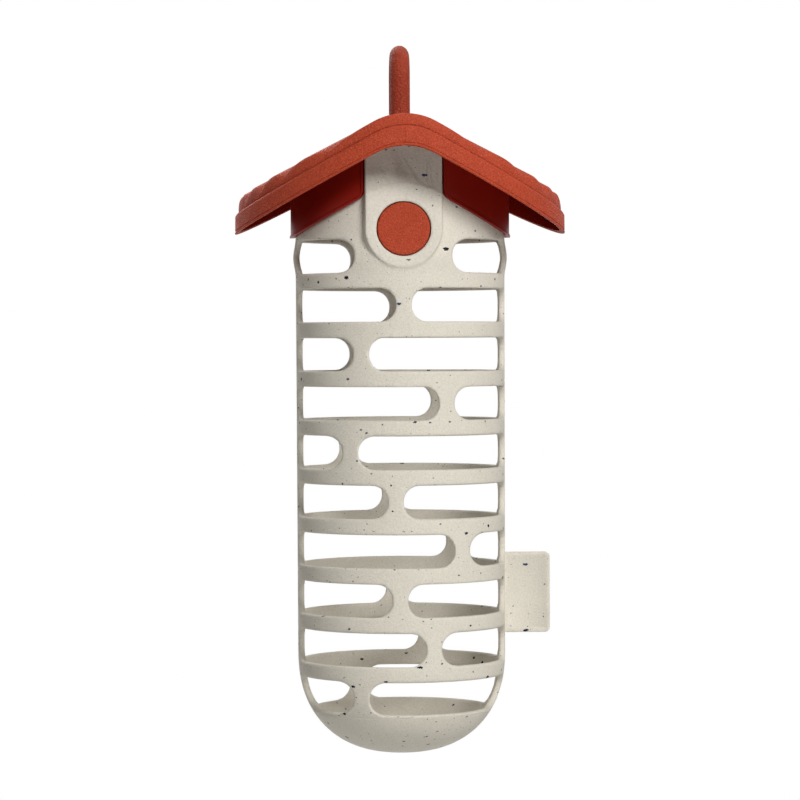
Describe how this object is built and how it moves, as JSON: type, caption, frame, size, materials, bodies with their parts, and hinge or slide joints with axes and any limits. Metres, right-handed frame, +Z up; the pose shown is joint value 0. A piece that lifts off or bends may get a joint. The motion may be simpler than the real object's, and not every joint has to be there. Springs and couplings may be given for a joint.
{
  "type": "suet ball feeder",
  "caption": "Hanging suet ball feeder: a slotted tubular cage with a domed foot under a round, gabled, rippled lid with a hanging loop and push-button latches.",
  "frame": {"origin": "the point under the loop's crown that a cord or hook bears on", "axes": "+Z up along the cage's axis, -Y out of the front button, +X towards the side tab"},
  "size_m": [0.158, 0.158, 0.3385],
  "materials": {
    "red_plastic": "moulded polypropylene with a fine pebbled grain",
    "red_plastic_smooth": "moulded polypropylene, smooth and slightly glossy",
    "cream_plastic": "moulded polypropylene with dark flecks and a fine grain"
  },
  "bodies": {
    "lid": {"roof_shell": "red_plastic", "hanging_loop": "red_plastic", "lid_skirt": "red_plastic_smooth", "lid_spigot": "red_plastic_smooth"},
    "front_latch": {"front_latch": "red_plastic"},
    "rear_latch": {"rear_latch": "red_plastic"},
    "cage": {"cage": "cream_plastic", "side_tab": "cream_plastic"}
  },
  "joints": [
    {"name": "front_button_press", "type": "hinge", "parent": "lid", "child": "front_latch", "pos_m": [0, -0.047, -0.0327], "axis": [1, 0, 0], "range_deg": [0, 7], "stiffness_Nm_per_rad": 2},
    {"name": "rear_button_press", "type": "hinge", "parent": "lid", "child": "rear_latch", "pos_m": [0, 0.047, -0.0327], "axis": [-1, 0, 0], "range_deg": [0, 7], "stiffness_Nm_per_rad": 2},
    {"name": "cage_slide", "type": "slide", "parent": "lid", "child": "cage", "axis": [0, 0, -1], "range_m": [0, 0.065], "deforming": ["front_latch", "rear_latch"]}
  ]
}
